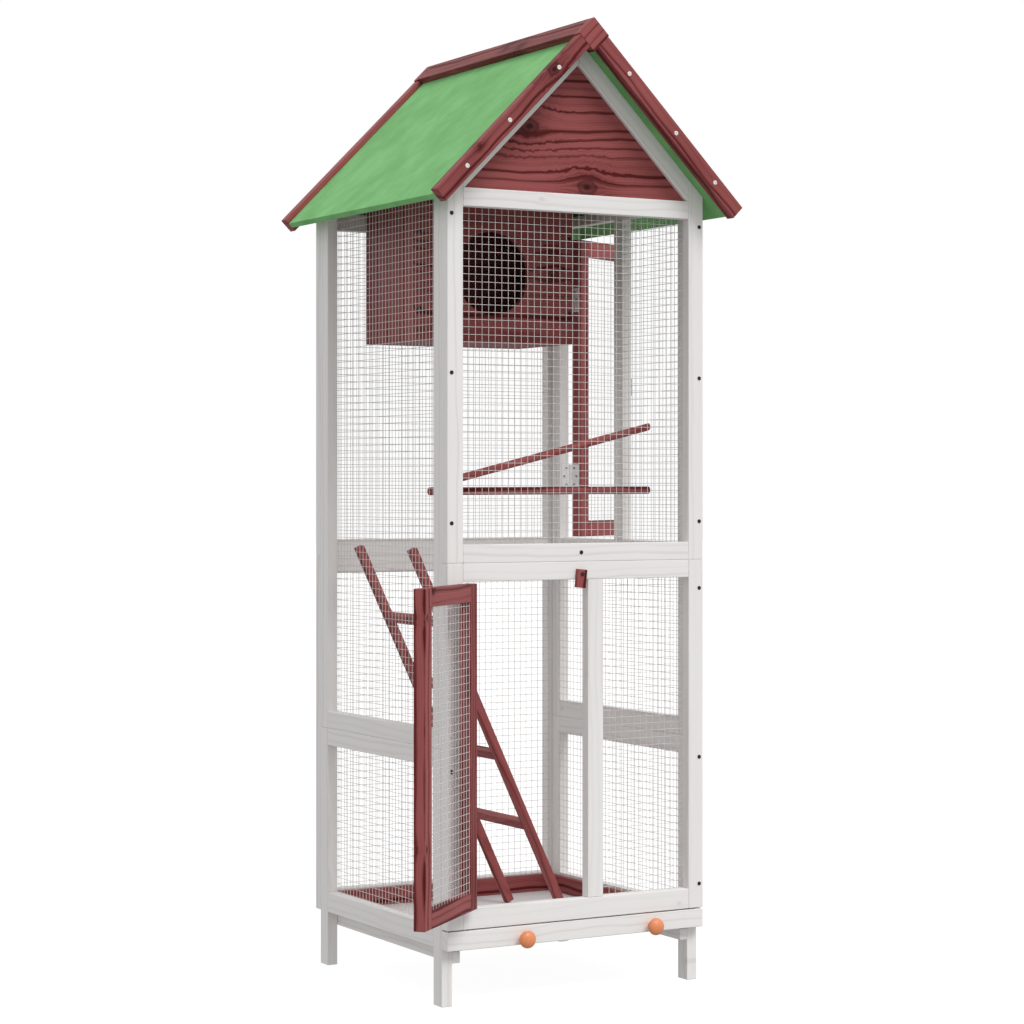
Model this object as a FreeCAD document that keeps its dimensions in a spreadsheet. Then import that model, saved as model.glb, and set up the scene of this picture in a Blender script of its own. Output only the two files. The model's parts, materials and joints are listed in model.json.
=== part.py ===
"""A tall garden aviary with a steep felted roof: timber panels, wire mesh, two doors and a drawer.

X runs to the right along the front, Y to the back and Z up. The origin is on the floor,
under the middle of the body. Lengths are millimetres and angles are degrees.
"""
import FreeCAD
import Part
import Sketcher
import os
import re

document = FreeCAD.newDocument("bird_aviary")

# Driving sizes, each written once

SIZES = {
    # Body and its timber
    "body_width": 510, "body_depth": 510, "timber_face": 30, "timber_depth": 20, "rail_face": 31,
    "base_rail_face": 36, "front_sill_face": 35, "floor_gap": 97, "side_seam": 431, "front_seam": 742,
    "side_sill_drop": 1, "side_top_rail_face": 19, "wall_top": 1379.4, "gable_rail_drop": 9.4,
    "front_mid_stile_place": 273.7, "front_mid_stile_face": 30.5, "side_mid_stile_place": 235,
    # Roof
    "roof_pitch": 45, "eave_overhang": 35.2, "roof_front_overhang": 32, "roof_back_overhang": 26,
    "roof_board_thickness": 7.2, "felt_thickness": 1.8, "barge_face": 27.6, "barge_depth": 20,
    "barge_drop": 7.8, "ridge_cap_face": 41, "ridge_cap_thickness": 11.5, "ridge_block_face": 42,
    "gable_board_recess": 7, "gable_board_thickness": 8,
    # Wire mesh, with every third wire drawn as one thicker strand
    "wire_pitch": 12.7, "wires_per_strand": 3, "strand": 1.4, "mesh_lap": 4.5, "door_mesh_recess": 2,
    # Doors and hinges
    "door_gap": 2, "eave_clearance": 3.2, "front_door_angle": 139, "side_door_angle": 118.2,
    "hinge_length": 46, "hinge_inset": 115, "leaf_width": 16, "leaf_thickness": 0.9, "leaf_clearance": 0.2,
    "knuckle_radius": 2.4, "knuckle_stand_off": 0.6, "knuckle_clearance": 0.2, "pin_radius": 1.1,
    "pin_clearance": 0.3,
    # Turn buttons
    "latch_width": 18.5, "latch_length": 31.5, "latch_thickness": 8, "latch_head": 8, "latch_tilt": 6,
    "latch_clearance": 0.3, "latch_screw_radius": 2, "front_latch_inset": 16.2, "front_latch_drop": 21.5,
    "side_latch_inset": 8.5,
    # Drawer
    "drawer_front_height": 32, "drawer_front_drop": 1, "drawer_gap": 2, "slide_clearance": 0.3,
    "tray_thickness": 5, "tray_side_clearance": 1, "tray_back_clearance": 2, "runner_face": 20,
    "runner_depth": 15, "cleat_height": 12, "cleat_depth": 7, "cleat_clearance": 1.5,
    "skirting_height": 31, "skirting_depth": 9,
    "knob_radius": 15, "knob_depth": 20, "knob_stem_radius": 7, "knob_stem_length": 6, "knob_rise": 11,
    "left_knob_place": 145, "right_knob_place": 402,
    # Nest box
    "nest_place": 91, "nest_right_gap": 95, "nest_depth": 201, "nest_height": 250, "nest_top_rise": 1.6,
    "nest_board": 12, "nest_hole_radius": 75, "nest_hole_offset": 6, "nest_hole_rise": 124,
    # Perches and ladder
    "perch_radius": 6.75, "seat_clearance": 0.3, "perch_left_rise": 120, "perch_right_rise": 121.3,
    "perch_left_place": 107.4, "high_perch_left_place": 76.4, "perch_right_place": 143,
    "high_perch_left_rise": 12, "high_perch_right_rise": 114.3,
    "ladder_stick": 15, "ladder_reach": 310.5, "ladder_rise": 661.4, "ladder_spacing": 206.5,
    "ladder_back_gap": 223.4,
    # Screws, each drawn as its head
    "screw_radius": 3.5, "screw_head": 1, "screw_edge": 8, "centre_screw_place": 260,
    "barge_screw_radius": 4, "barge_screw_lift": 7, "washer_radius": 7, "washer_thickness": 1.2,
    "shank_radius": 1.5, "nest_screw_edge": 6.5, "nest_screw_inset": 57, "nest_fixing_inset": 60,
    "nest_fixing_drop": 70,
}

# Places worked out from the sizes

PLACES = {
    "half_width": "body_width / 2",
    "half_depth": "body_depth / 2",
    # Inner faces of three walls, and the openings between their outer stiles
    "left_inner": "-half_width + timber_depth",
    "front_inner": "-half_depth + timber_depth",
    "back_inner": "half_depth - timber_depth",
    "opening_left": "-half_width + timber_face",
    "opening_right": "-opening_left",
    "opening_width": "opening_right - opening_left",
    "side_open_front": "front_inner + timber_face",
    "side_open_back": "back_inner - timber_face",
    # Rails
    "drawer_front_bottom": "floor_gap - drawer_front_drop",
    "front_sill_gap": "drawer_front_bottom + drawer_front_height + drawer_gap",
    "front_sill_top": "front_sill_gap + front_sill_face",
    "base_rail_top": "floor_gap + base_rail_face",
    "side_lower_top": "side_seam - rail_face",
    "side_upper_bottom": "side_seam + rail_face",
    "lower_rail_bottom": "front_seam - rail_face",
    "upper_sill_top": "front_seam + rail_face",
    "gable_rail_top": "wall_top - gable_rail_drop",
    "gable_rail_bottom": "gable_rail_top - rail_face",
    "top_rail_bottom": "wall_top - rail_face",
    "side_rail_bottom": "wall_top - side_top_rail_face",
    "side_sill_bottom": "front_seam - side_sill_drop",
    "side_sill_top": "side_sill_bottom + rail_face",
    # Middle stiles
    "mid_stile_left": "-half_width + front_mid_stile_place",
    "mid_stile_right": "mid_stile_left + front_mid_stile_face",
    "side_mid_front": "-half_depth + side_mid_stile_place",
    "side_mid_back": "side_mid_front + timber_face",
    # Roof lines, seen from the front
    "roof_apex": "wall_top + half_width * tan(roof_pitch)",
    "eave_bottom": "wall_top - eave_overhang * tan(roof_pitch)",
    "roof_thickness": "roof_board_thickness + 2 * felt_thickness",
    "board_top": "felt_thickness + roof_board_thickness",
    "eave_run": "(half_width + eave_overhang) / cos(roof_pitch)",
    "board_run": "eave_run - felt_thickness",
    "roof_front": "-half_depth - roof_front_overhang",
    "roof_back": "half_depth + roof_back_overhang",
    "roof_length": "roof_back - roof_front",
    "cap_top": "roof_thickness + ridge_cap_thickness",
    "cap_run": "ridge_cap_face - cap_top * tan(roof_pitch)",
    "block_run": "ridge_block_face - cap_top * tan(roof_pitch)",
    "stile_point": "roof_apex + opening_left * tan(roof_pitch)",
    "gable_point": "roof_apex - timber_face / cos(roof_pitch)",
    "gable_half": "(gable_point - gable_rail_top) / tan(roof_pitch)",
    # Doors, each from its hinge
    "hinge_gap": "2 * leaf_thickness + leaf_clearance",
    "pivot_stand_off": "knuckle_radius + knuckle_stand_off",
    "front_door_width": "mid_stile_left - opening_left - hinge_gap - door_gap",
    "front_door_bottom": "front_sill_top + door_gap",
    "front_door_height": "lower_rail_bottom - front_sill_top - 2 * door_gap",
    "side_door_width": "side_open_back - side_mid_back - hinge_gap - door_gap",
    "side_door_bottom": "side_sill_top + door_gap",
    "side_door_top": "min(side_rail_bottom - door_gap; eave_bottom - eave_clearance)",
    "side_door_height": "side_door_top - side_door_bottom",
    "front_pivot_x": "opening_left + hinge_gap / 2",
    "front_pivot_y": "-half_depth - pivot_stand_off",
    "side_pivot_x": "half_width + pivot_stand_off",
    "side_pivot_y": "side_open_back - hinge_gap / 2",
    "door_edge": "hinge_gap / 2",
    "door_inner": "pivot_stand_off + timber_depth",
    "knuckle_length": "hinge_length / 3",
    "latch_bore_radius": "latch_screw_radius + latch_clearance",
    "side_latch_height": "(side_sill_top + top_rail_bottom) / 2",
    # Drawer
    "tray_top": "floor_gap",
    "tray_bottom": "tray_top - tray_thickness",
    "runner_top": "tray_bottom - slide_clearance",
    "tray_half": "-left_inner - tray_side_clearance",
    "drawer_front_depth": "timber_depth - slide_clearance",
    "drawer_back_face": "-half_depth + drawer_front_depth",
    "cleat_half": "-left_inner - skirting_depth - cleat_clearance",
    "knob_reach": "knob_stem_length + knob_depth / 2",
    # Inside
    "mesh_left": "left_inner + strand",
    "mesh_back": "back_inner - strand",
    "perch_end": "mesh_left + seat_clearance",
    "perch_left_height": "front_seam + perch_left_rise",
    "perch_right_height": "front_seam + perch_right_rise",
    "left_strand_height": "perch_left_height + high_perch_left_rise / 2",
    "right_strand_place": "-half_depth + perch_right_place",
    "nest_left": "-half_width + nest_place",
    "nest_width": "body_width - nest_place - nest_right_gap",
    "nest_bottom": "wall_top + nest_top_rise - nest_height",
    "nest_hole_place": "nest_width / 2 - nest_hole_offset",
    "nest_front": "mesh_back - seat_clearance - nest_depth",
    "nest_inner_left": "nest_left + nest_board",
    "nest_inner_width": "nest_width - 2 * nest_board",
    "nest_inner_depth": "nest_depth - 2 * nest_board",
    "half_stick": "ladder_stick / 2",
    "ladder_lean": "atan(ladder_reach / ladder_rise)",
    "ladder_length": "sqrt(ladder_reach * ladder_reach + ladder_rise * ladder_rise)",
    "ladder_foot": "mesh_left + seat_clearance + ladder_reach",
    "ladder_front": "half_depth - ladder_back_gap - ladder_spacing / 2 - half_stick",
}

# Where the rungs and the screws stand, as shares of the length that carries them

RUNG_SHARES = (0.257, 0.449, 0.629, 0.806)
LOWER_SCREW_SHARES = (0.069, 0.433, 0.918)
UPPER_SCREW_SHARES = (0.105, 0.499, 0.916)
BARGE_SCREW_SHARES = (0.223, 0.551, 0.829)

AXES = ("x", "y", "z")
EXTENTS = ("Length", "Width", "Height")
ORIGIN = ("0", "0", "0")
X_AXIS = FreeCAD.Vector(1, 0, 0)
Y_AXIS = FreeCAD.Vector(0, 1, 0)
Z_AXIS = FreeCAD.Vector(0, 0, 1)
LEVEL = FreeCAD.Rotation()
FACING_FRONT = FreeCAD.Rotation(X_AXIS, 90)
FACING_BACK = FreeCAD.Rotation(X_AXIS, -90)
FACING_RIGHT = FreeCAD.Rotation(Y_AXIS, 90)
ALONG_SIDE = FreeCAD.Rotation(FreeCAD.Vector(1, 1, 1), 120)

cells = {}
nodes = []


# Sheets and formulas

def formula(text):
    """Turns each size or place named in a formula into its cell."""
    return re.sub(r"[a-z]\w*", lambda word: cells.get(word.group(), word.group()), text)


def add_cell(sheet, row, alias, text):
    """Writes a name and its value on one row, and gives the value's cell that name."""
    sheet.set(f"A{row}", alias)
    sheet.set(f"B{row}", text)
    sheet.setAlias(f"B{row}", alias)
    cells[alias] = f"{sheet.Name}.{alias}"


sizes = document.addObject("Spreadsheet::Sheet", "Sizes")
for row, (alias, size) in enumerate(SIZES.items(), start=1):
    add_cell(sizes, row, alias, str(size))
places = document.addObject("Spreadsheet::Sheet", "Places")
for row, (alias, text) in enumerate(PLACES.items(), start=1):
    add_cell(places, row, alias, "=" + formula(text))
corners = document.addObject("Spreadsheet::Sheet", "Corners")
corner_names = {}
document.recompute()


def value(name):
    """The number that a size, a place or a corner has now."""
    number = getattr(document.getObject(cells[name].split(".")[0]), name)
    return float(getattr(number, "Value", number))


def bind(item, path, text):
    """Ties one property of an object to a formula."""
    item.setExpression(path, formula(text))


def place(item, corner, turn=LEVEL):
    """Puts an object at a corner given as three formulas."""
    item.Placement = FreeCAD.Placement(FreeCAD.Vector(), turn)
    for axis, text in zip(AXES, corner):
        bind(item, f"Placement.Base.{axis}", text)
    return item


def tilt(item, angle):
    """Leans an object to the right about its own Y by a formula."""
    item.Placement.Rotation = FreeCAD.Rotation(Y_AXIS, 1)
    bind(item, "Placement.Rotation.Angle", angle)
    return item


# Pieces

def box(name, corner, extents):
    """A straight timber or plate, from its lowest corner and its three sizes."""
    piece = document.addObject("Part::Box", name)
    for side, text in zip(EXTENTS, extents):
        bind(piece, side, text)
    return place(piece, corner)


def cylinder(name, base, radius, height, turn=LEVEL):
    """A round piece that stands on the middle of its base."""
    piece = document.addObject("Part::Cylinder", name)
    bind(piece, "Radius", radius)
    bind(piece, "Height", height)
    return place(piece, base, turn)


def corner_cells(outline):
    """Gives each formula of an outline's corners a cell, and returns the cells' names."""
    for text in [text for point in outline for text in point]:
        if text not in corner_names:
            row = len(corner_names) + 1
            corner_names[text] = f"corner_{row}"
            add_cell(corners, row, corner_names[text], "=" + formula(text))
    corners.recompute()
    return [[corner_names[text] for text in point] for point in outline]


def board(name, outline, front, thickness):
    """A board cut to an outline of X and Z formulas, with its front face at one Y."""
    body = document.addObject("PartDesign::Body", name)
    sketch = body.newObject("Sketcher::SketchObject", name + "_outline")
    plane = next(item for item in body.Origin.OriginFeatures if item.Role == "XZ_Plane")
    sketch.AttachmentSupport = (plane, [""])
    sketch.MapMode = "FlatFace"
    names = corner_cells(outline)
    points = [FreeCAD.Vector(value(across), value(up)) for across, up in names]
    count = len(points)
    for index, point in enumerate(points):
        sketch.addGeometry(Part.LineSegment(point, points[(index + 1) % count]))
    for index, (point, cell_names) in enumerate(zip(points, names)):
        sketch.addConstraint(Sketcher.Constraint("Coincident", index, 2, (index + 1) % count, 1))
        for kind, number, cell_name in zip(("DistanceX", "DistanceY"), point, cell_names):
            datum = sketch.addConstraint(Sketcher.Constraint(kind, -1, 1, index, 1, number))
            bind(sketch, f"Constraints[{datum}]", cell_name)
    pad = body.newObject("PartDesign::Pad", name + "_pad")
    pad.Profile = sketch
    pad.Reversed = True
    bind(pad, "Length", thickness)
    bind(body, "Placement.Base.y", front)
    return body


def group(name, pieces):
    """Pieces kept together, each a solid of its own."""
    item = document.addObject("Part::Compound", name)
    item.Links = pieces
    return item


def node(name, *pieces):
    """A finished sub-part, whose label names its file."""
    item = group(name, list(pieces))
    item.Label = name
    nodes.append(item)
    return item


def mirrored(name, source, normal=X_AXIS):
    """The same piece on the other side of the body's middle plane."""
    item = document.addObject("Part::Mirroring", name)
    item.Source = source
    item.Normal = normal
    return item


def both_sides(name, *pieces):
    """A node of left pieces and their mirror images on the right."""
    left = group(name + "_left", list(pieces))
    return node(name, left, mirrored(name + "_right", left))


def opposite(name, source, normal=X_AXIS):
    """A node that mirrors a whole node of the facing wall."""
    return node(name, mirrored(name + "_mirror", source, normal))


def fused(name, pieces):
    """Pieces that are one solid."""
    item = document.addObject("Part::MultiFuse", name)
    item.Shapes = pieces
    return item


def cut(name, piece, tool):
    """A piece with another one taken out of it."""
    item = document.addObject("Part::Cut", name)
    item.Base = piece
    item.Tool = tool
    return item


def copy_at(name, source, corner, turn=LEVEL):
    """A copy of a piece that is drawn at its own origin."""
    return place(group(name, [source]), corner, turn)


# Wire mesh

def rectangle(left, low, right, high):
    """A closed wire round a rectangle in XY."""
    points = [(left, low), (right, low), (right, high), (left, high), (left, low)]
    return Part.makePolygon([FreeCAD.Vector(across, up) for across, up in points])


def gaps_along(length, pitch, start, strand):
    """Both edges of each gap along a side that has rims, with one strand's middle at the start."""
    steps = range(-int(start / pitch), int((length - start) / pitch) + 1)
    middles = [start + pitch * step for step in steps]
    lows = [strand] + [max(middle + strand / 2, strand) for middle in middles]
    highs = [min(middle - strand / 2, length - strand) for middle in middles] + [length - strand]
    return [(low, high) for low, high in zip(lows, highs) if high - low > strand]


def net(name, width, height, across_start, up_start):
    """A mesh panel: one holed face, lying in XY, with its thickness along Z."""
    strand = value("strand")
    pitch = value("wire_pitch") * value("wires_per_strand")
    wires = [rectangle(0, 0, width, height)]
    for left, right in gaps_along(width, pitch, across_start, strand):
        for low, high in gaps_along(height, pitch, up_start, strand):
            wires.append(rectangle(left, low, right, high).reversed())
    item = document.addObject("Part::Feature", name)
    item.Shape = Part.Face(wires).extrude(Z_AXIS * strand)
    return item


def lapped_net(name, sides, through):
    """A net that laps onto the timber round an opening; a place may name where a strand passes."""
    lap = value("mesh_lap")
    left, right, low, high = [value(side) for side in sides]
    width = right - left + 2 * lap
    height = high - low + 2 * lap
    across = width / 2 if through[0] is None else value(through[0]) - left + lap
    up = height / 2 if through[1] is None else value(through[1]) - low + lap
    return net(name, width, height, across, up)


def front_net(name, sides, through=(None, None)):
    """A net stapled to the inside of the front wall."""
    corner = (f"{sides[0]} - mesh_lap", "front_inner + strand", f"{sides[2]} - mesh_lap")
    return place(lapped_net(name, sides, through), corner, FACING_FRONT)


def left_net(name, sides, through=(None, None)):
    """A net stapled to the inside of the left wall."""
    corner = ("left_inner", f"{sides[0]} - mesh_lap", f"{sides[2]} - mesh_lap")
    return place(lapped_net(name, sides, through), corner, ALONG_SIDE)


# Front wall

def front_rail(name, bottom, face="rail_face"):
    """A rail of the front wall, between its outer stiles."""
    return box(name, ("opening_left", "-half_depth", bottom), ("opening_width", "timber_depth", face))


lower_stile = box("front_lower_left_stile", ("-half_width", "-half_depth", "front_sill_gap"),
                  ("timber_face", "timber_depth", "front_seam - front_sill_gap"))
mid_stile = box("front_mid_stile", ("mid_stile_left", "-half_depth", "front_sill_top"),
                ("front_mid_stile_face", "timber_depth", "lower_rail_bottom - front_sill_top"))
node("front_lower_stiles", lower_stile, mirrored("front_lower_right_stile", lower_stile), mid_stile)
node("front_lower_rails",
     front_rail("front_bottom_rail", "front_sill_gap", "front_sill_face"),
     front_rail("front_lower_top_rail", "lower_rail_bottom"))
node("front_lower_mesh",
     front_net("front_lower_net",
               ("mid_stile_right", "opening_right", "front_sill_top", "lower_rail_bottom")))

upper_stile = board("front_upper_left_stile",
                    [("-half_width", "front_seam"), ("opening_left", "front_seam"),
                     ("opening_left", "stile_point"), ("-half_width", "wall_top")],
                    "-half_depth", "timber_depth")
front_upper_stiles = both_sides("front_upper_stiles", upper_stile)
front_upper_rails = node("front_upper_rails",
                         front_rail("front_upper_sill", "front_seam"),
                         front_rail("front_gable_rail", "gable_rail_bottom"))
front_upper_mesh = node("front_upper_mesh",
                        front_net("front_upper_net",
                                  ("opening_left", "opening_right", "upper_sill_top", "gable_rail_bottom")))

gable_rail = board("front_left_gable_rail",
                   [("opening_left", "gable_rail_top"), ("-gable_half", "gable_rail_top"),
                    ("0", "gable_point"), ("0", "roof_apex"), ("opening_left", "stile_point")],
                   "-half_depth", "timber_depth")
gable_rails = group("front_gable_rails", [gable_rail, mirrored("front_right_gable_rail", gable_rail)])
gable_board = board("front_gable_board",
                    [("-gable_half", "gable_rail_top"), ("gable_half", "gable_rail_top"),
                     ("0", "gable_point")],
                    "-half_depth + gable_board_recess", "gable_board_thickness")
node("gable_rails", gable_rails, mirrored("back_gable_rails", gable_rails, Y_AXIS))
node("gable_boards", gable_board, mirrored("back_gable_board", gable_board, Y_AXIS))

# Back wall, the front's mirror image above the seam

both_sides("back_lower_stiles",
           box("back_lower_left_stile", ("-half_width", "back_inner", "floor_gap"),
               ("timber_face", "timber_depth", "front_seam - floor_gap")))
node("back_lower_rails",
     box("back_base_rail", ("opening_left", "back_inner", "floor_gap"),
         ("opening_width", "timber_depth", "base_rail_face")),
     box("back_lower_top_rail", ("opening_left", "back_inner", "lower_rail_bottom"),
         ("opening_width", "timber_depth", "rail_face")))
facing_net = front_net("facing_lower_net",
                       ("opening_left", "opening_right", "base_rail_top", "lower_rail_bottom"))
opposite("back_lower_mesh", facing_net, Y_AXIS)
opposite("back_upper_stiles", front_upper_stiles, Y_AXIS)
opposite("back_upper_rails", front_upper_rails, Y_AXIS)
opposite("back_upper_mesh", front_upper_mesh, Y_AXIS)


# Side walls, the right one the left one's mirror image but for its door

def side_post(name, front, bottom, height):
    """An upright of the left wall."""
    return box(name, ("-half_width", front, bottom), ("timber_depth", "timber_face", height))


def side_rail(name, bottom, face="rail_face"):
    """A rail of the left wall, between its uprights."""
    extents = ("timber_depth", "side_open_back - side_open_front", face)
    return box(name, ("-half_width", "side_open_front", bottom), extents)


left_legs = node("left_legs",
                 side_post("front_left_leg", "front_inner", "0", "side_seam"),
                 side_post("back_left_leg", "side_open_back", "0", "side_seam"))
left_lower_rails = node("left_lower_rails",
                        side_rail("left_base_rail", "floor_gap", "base_rail_face"),
                        side_rail("left_lower_top_rail", "side_lower_top"))
left_lower_mesh = node("left_lower_mesh",
                       left_net("left_lower_net",
                                ("side_open_front", "side_open_back", "base_rail_top", "side_lower_top")))
front_post = side_post("front_left_post", "front_inner", "side_seam", "wall_top - side_seam")
back_post = side_post("back_left_post", "side_open_back", "side_seam", "wall_top - side_seam")
node("left_upper_stiles", front_post, back_post)
upper_rails = [side_rail("left_upper_sill", "side_seam"),
               side_rail("left_top_rail", "side_rail_bottom", "side_top_rail_face")]
node("left_upper_rails", *upper_rails)
node("left_upper_mesh",
     left_net("left_upper_net",
              ("side_open_front", "side_open_back", "side_upper_bottom", "side_rail_bottom"),
              (None, "left_strand_height")))

opposite("right_legs", left_legs)
opposite("right_lower_rails", left_lower_rails)
opposite("right_lower_mesh", left_lower_mesh)
middle_post = side_post("facing_mid_stile", "side_mid_front", "side_sill_top",
                        "side_rail_bottom - side_sill_top")
opposite("right_upper_stiles", group("facing_posts", [front_post, back_post, middle_post]))
opposite("right_upper_rails",
         group("facing_rails", upper_rails + [side_rail("facing_door_sill", "side_sill_bottom")]))
low_net = left_net("facing_low_net",
                   ("side_open_front", "side_open_back", "side_upper_bottom", "side_sill_bottom"))
high_net = left_net("facing_high_net",
                    ("side_open_front", "side_mid_front", "side_sill_top", "side_rail_bottom"),
                    ("right_strand_place", "perch_right_height"))
opposite("right_upper_mesh", group("facing_nets", [low_net, high_net]))


# Roof

def on_slope(run, lift):
    """A point of the left slope: a run down it from the apex, and a lift square to it."""
    across = f"-(({run}) * cos(roof_pitch) + ({lift}) * sin(roof_pitch))"
    height = f"roof_apex - ({run}) * sin(roof_pitch) + ({lift}) * cos(roof_pitch)"
    return across, height


def at_ridge(lift):
    """The point over the ridge line at a lift above the roof's underside."""
    return "0", f"roof_apex + ({lift}) / cos(roof_pitch)"


both_sides("roof_boards",
           board("left_roof_board",
                 [at_ridge("felt_thickness"), at_ridge("board_top"),
                  on_slope("board_run", "board_top"), on_slope("board_run", "felt_thickness")],
                 "roof_front", "roof_length"))
both_sides("roof_felts",
           board("left_roof_felt",
                 [at_ridge("board_top"), at_ridge("roof_thickness"), on_slope("eave_run", "roof_thickness"),
                  on_slope("eave_run", "0"), at_ridge("0"), at_ridge("felt_thickness"),
                  on_slope("board_run", "felt_thickness"), on_slope("board_run", "board_top")],
                 "roof_front", "roof_length"))
both_sides("ridge_caps",
           board("left_ridge_cap",
                 [at_ridge("roof_thickness"), at_ridge("cap_top"),
                  on_slope("cap_run", "cap_top"), on_slope("cap_run", "roof_thickness")],
                 "roof_front", "roof_length"))


def barge_board(name, front):
    """A left barge board, between the end block and the eave."""
    low = "-barge_drop"
    high = "barge_face - barge_drop"
    outline = [on_slope("block_run", low), on_slope("block_run", high),
               on_slope("eave_run", high), on_slope("eave_run", low)]
    return board(name, outline, front, "barge_depth")


def end_block(name, front):
    """The square block that closes the ridge between two barge boards."""
    left = on_slope("block_run", "cap_top")
    right = (f"-({left[0]})", left[1])
    low_point = ("0", "roof_apex - block_run / sin(roof_pitch)")
    return board(name, [at_ridge("cap_top"), left, low_point, right], front, "barge_depth")


both_sides("barge_boards",
           barge_board("front_barge_board", "roof_front - barge_depth"),
           barge_board("back_barge_board", "roof_back"))
node("ridge_end_blocks",
     end_block("front_end_block", "roof_front - barge_depth"),
     end_block("back_end_block", "roof_back"))


# Doors, drawn closed about their hinge line, with their width along X

def hinge_leaf(name, side, knuckles):
    """One leaf with its knuckles; the side is its inner X and the knuckles their starts."""
    start = "pivot_stand_off"
    pieces = [box(name + "_plate", (side, start, "0"), ("leaf_thickness", "leaf_width", "hinge_length"))]
    for index, (low, height) in enumerate(knuckles):
        pieces.append(box(f"{name}_tab_{index}", (side, "0", low), ("leaf_thickness", start, height)))
        pieces.append(cylinder(f"{name}_knuckle_{index}", ("0", "0", low), "knuckle_radius", height))
    return pieces


end_knuckle = "knuckle_length - knuckle_clearance"
top_knuckle = "hinge_length - knuckle_length + knuckle_clearance"
frame_pieces = hinge_leaf("frame_leaf", "-door_edge", [("0", end_knuckle), (top_knuckle, end_knuckle)])
frame_pieces.append(cylinder("hinge_pin", ORIGIN, "pin_radius", "hinge_length"))
frame_leaf = fused("frame_leaf", frame_pieces)
door_pieces = hinge_leaf("door_leaf", "door_edge - leaf_thickness", [("knuckle_length", "knuckle_length")])
door_leaf = cut("door_leaf", fused("door_leaf_blank", door_pieces),
                cylinder("pin_bore", ORIGIN, "pin_radius + pin_clearance", "hinge_length"))


def hinge_pair(name, leaf, bottom, height):
    """The same leaf at both hinges of a door."""
    low = f"{bottom} + hinge_inset - hinge_length / 2"
    high = f"{bottom} + {height} - hinge_inset - hinge_length / 2"
    return group(name, [copy_at(name + "_low", leaf, ("0", "0", low)),
                        copy_at(name + "_high", leaf, ("0", "0", high))])


def door_net(name, width, bottom, height):
    """A net that fills a door's frame, set a little in from its inner face."""
    net_width = value(width) - 2 * value("timber_face")
    net_height = value(height) - 2 * value("timber_face")
    corner = ("door_edge + timber_face", "door_inner - door_mesh_recess", f"{bottom} + timber_face")
    return place(net(name, net_width, net_height, net_width / 2, net_height / 2), corner, FACING_FRONT)


def door(name, width, bottom, height):
    """The four sub-parts of a door, and the frame's leaves of its hinges, by name."""
    far = f"door_edge + {width} - timber_face"
    stile = ("timber_face", "timber_depth", height)
    rail = (f"{width} - 2 * timber_face", "timber_depth", "timber_face")
    rail_left = "door_edge + timber_face"
    return {
        "stiles": group(name + "_stile_pair",
                        [box(name + "_hinge_stile", ("door_edge", "pivot_stand_off", bottom), stile),
                         box(name + "_free_stile", (far, "pivot_stand_off", bottom), stile)]),
        "rails": group(name + "_rail_pair",
                       [box(name + "_bottom_rail", (rail_left, "pivot_stand_off", bottom), rail),
                        box(name + "_top_rail",
                            (rail_left, "pivot_stand_off", f"{bottom} + {height} - timber_face"), rail)]),
        "mesh": door_net(name + "_net", width, bottom, height),
        "hinge_leaves": hinge_pair(name + "_leaves", door_leaf, bottom, height),
        "frame_leaves": hinge_pair(name + "_frame_leaves_pair", frame_leaf, bottom, height),
    }


def hang(name, piece, pivot, angle):
    """A node turned about its pivot."""
    item = place(node(name, piece), pivot)
    bind(item, "Placement.Rotation.Angle", angle)


front_pivot = ("front_pivot_x", "front_pivot_y", "0")
side_pivot = ("side_pivot_x", "side_pivot_y", "0")
front_door = door("front_door", "front_door_width", "front_door_bottom", "front_door_height")
side_door = door("side_door", "side_door_width", "side_door_bottom", "side_door_height")
for part_name in ("stiles", "rails", "mesh", "hinge_leaves"):
    hang("front_door_" + part_name, front_door[part_name], front_pivot, "-front_door_angle")
    facing_part = mirrored("side_door_mirrored_" + part_name, side_door[part_name])
    hang("side_door_" + part_name, facing_part, side_pivot, "90 + side_door_angle")
hang("front_hinge_frame_leaves", front_door["frame_leaves"], front_pivot, "0")
facing_leaves = mirrored("side_door_mirrored_frame_leaves", side_door["frame_leaves"])
hang("side_hinge_frame_leaves", facing_leaves, side_pivot, "90")


# Turn buttons, drawn hanging from their screws at the origin, and the screws

latch_blank = box("latch_blank", ("-latch_width / 2", "-latch_thickness", "latch_head - latch_length"),
                  ("latch_width", "latch_thickness", "latch_length"))
latch_bore = cylinder("latch_bore", ORIGIN, "latch_bore_radius", "latch_thickness", FACING_FRONT)
latch = cut("latch", latch_blank, latch_bore)
latch_screw = fused("latch_screw", [
    cylinder("latch_shank", ("0", "latch_clearance", "0"), "latch_screw_radius",
             "latch_thickness + 2 * latch_clearance", FACING_FRONT),
    cylinder("latch_screw_head", ("0", "-latch_thickness - latch_clearance", "0"), "screw_radius",
             "screw_head", FACING_FRONT)])
front_latch_place = ("mid_stile_left - front_latch_inset", "-half_depth - latch_clearance",
                     "front_seam - front_latch_drop")
side_latch_place = ("half_width + latch_clearance", "side_mid_back - side_latch_inset", "side_latch_height")
QUARTER_TURN = FreeCAD.Rotation(Z_AXIS, 90)
tilt(place(node("front_latch", latch), front_latch_place), "latch_tilt")
place(node("side_latch", latch), side_latch_place, QUARTER_TURN)
node("latch_screws",
     copy_at("front_latch_screw", latch_screw, front_latch_place),
     copy_at("side_latch_screw", latch_screw, side_latch_place, QUARTER_TURN))


# Drawer with its runners, and the skirting above its tray

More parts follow.
